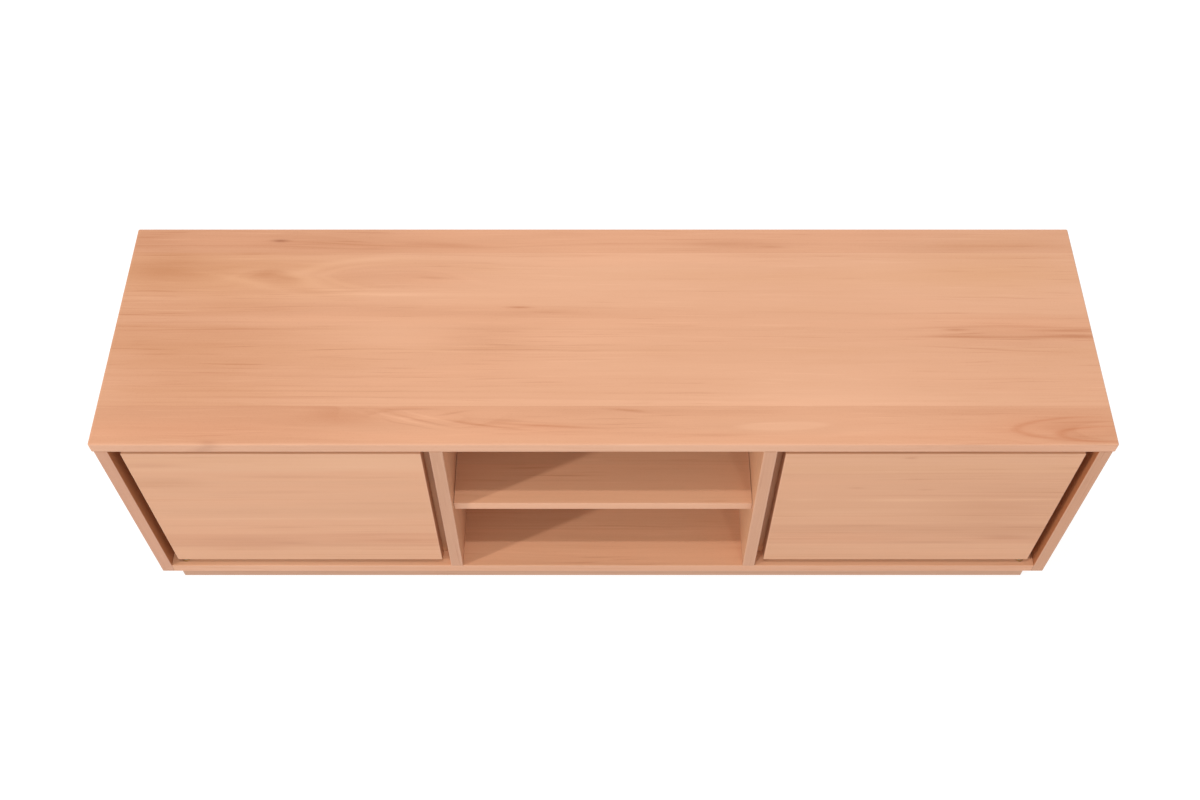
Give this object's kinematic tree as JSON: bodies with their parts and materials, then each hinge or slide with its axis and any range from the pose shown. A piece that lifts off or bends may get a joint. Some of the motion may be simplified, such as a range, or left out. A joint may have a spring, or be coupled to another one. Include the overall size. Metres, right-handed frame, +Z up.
{
  "type": "tv cabinet",
  "caption": "Low wooden TV cabinet with a plank top, shadow-gap side doors on pivot pins, an open centre bay with a shelf, cable slots in its back and a set-back plinth.",
  "frame": {"origin": "on the floor, under the middle of the top", "axes": "+X along the cabinet to the viewer's right, +Y from the doors towards the back, +Z up"},
  "size_m": [1.65, 0.45, 0.5],
  "materials": {
    "beech_top": "oiled solid beech planks, long grain along the cabinet, satin",
    "beech_carcass": "oiled solid beech, satin",
    "beech_door": "oiled solid beech slab, grain across the door, satin",
    "beech_shelf": "oiled solid beech, satin",
    "beech_ply": "thin beech-faced board, matt",
    "steel": "turned steel, satin",
    "brass": "turned brass, satin",
    "rubber": "dark soft rubber, matt"
  },
  "bodies": {
    "carcass": {"top_panel": "beech_top", "bottom_panel": "beech_carcass", "left_side_panel": "beech_carcass", "right_side_panel": "beech_carcass", "left_divider": "beech_carcass", "right_divider": "beech_carcass", "left_back_panel": "beech_ply", "center_back_panel": "beech_ply", "right_back_panel": "beech_ply", "center_shelf": "beech_shelf", "left_shelf": "beech_shelf", "right_shelf": "beech_shelf", "center_shelf_pin_1": "steel", "center_shelf_pin_2": "steel", "center_shelf_pin_3": "steel", "center_shelf_pin_4": "steel", "left_shelf_pin_1": "steel", "left_shelf_pin_2": "steel", "left_shelf_pin_3": "steel", "left_shelf_pin_4": "steel", "right_shelf_pin_1": "steel", "right_shelf_pin_2": "steel", "right_shelf_pin_3": "steel", "right_shelf_pin_4": "steel", "left_outer_batten": "beech_carcass", "left_inner_batten": "beech_carcass", "right_outer_batten": "beech_carcass", "right_inner_batten": "beech_carcass", "left_catch_magnet": "steel", "right_catch_magnet": "steel", "left_upper_bumper": "rubber", "left_lower_bumper": "rubber", "right_upper_bumper": "rubber", "right_lower_bumper": "rubber", "left_upper_pivot_bush": "brass", "left_lower_pivot_bush": "brass", "right_upper_pivot_bush": "brass", "right_lower_pivot_bush": "brass", "plinth_front_rail": "beech_carcass", "plinth_back_rail": "beech_carcass", "plinth_left_rail": "beech_carcass", "plinth_right_rail": "beech_carcass", "plinth_left_bearer": "beech_carcass", "plinth_right_bearer": "beech_carcass"},
    "left_door": {"left_door_panel": "beech_door", "left_upper_pivot_pin": "steel", "left_lower_pivot_pin": "steel", "left_strike_plate": "steel"},
    "right_door": {"right_door_panel": "beech_door", "right_upper_pivot_pin": "steel", "right_lower_pivot_pin": "steel", "right_strike_plate": "steel"}
  },
  "joints": [
    {"name": "left_door_hinge", "type": "hinge", "parent": "carcass", "child": "left_door", "pos_m": [-0.774, -0.209, 0.275], "axis": [0, 0, -1], "range_deg": [0, 110]},
    {"name": "right_door_hinge", "type": "hinge", "parent": "carcass", "child": "right_door", "pos_m": [0.774, -0.209, 0.275], "axis": [0, 0, 1], "range_deg": [0, 110]}
  ]
}
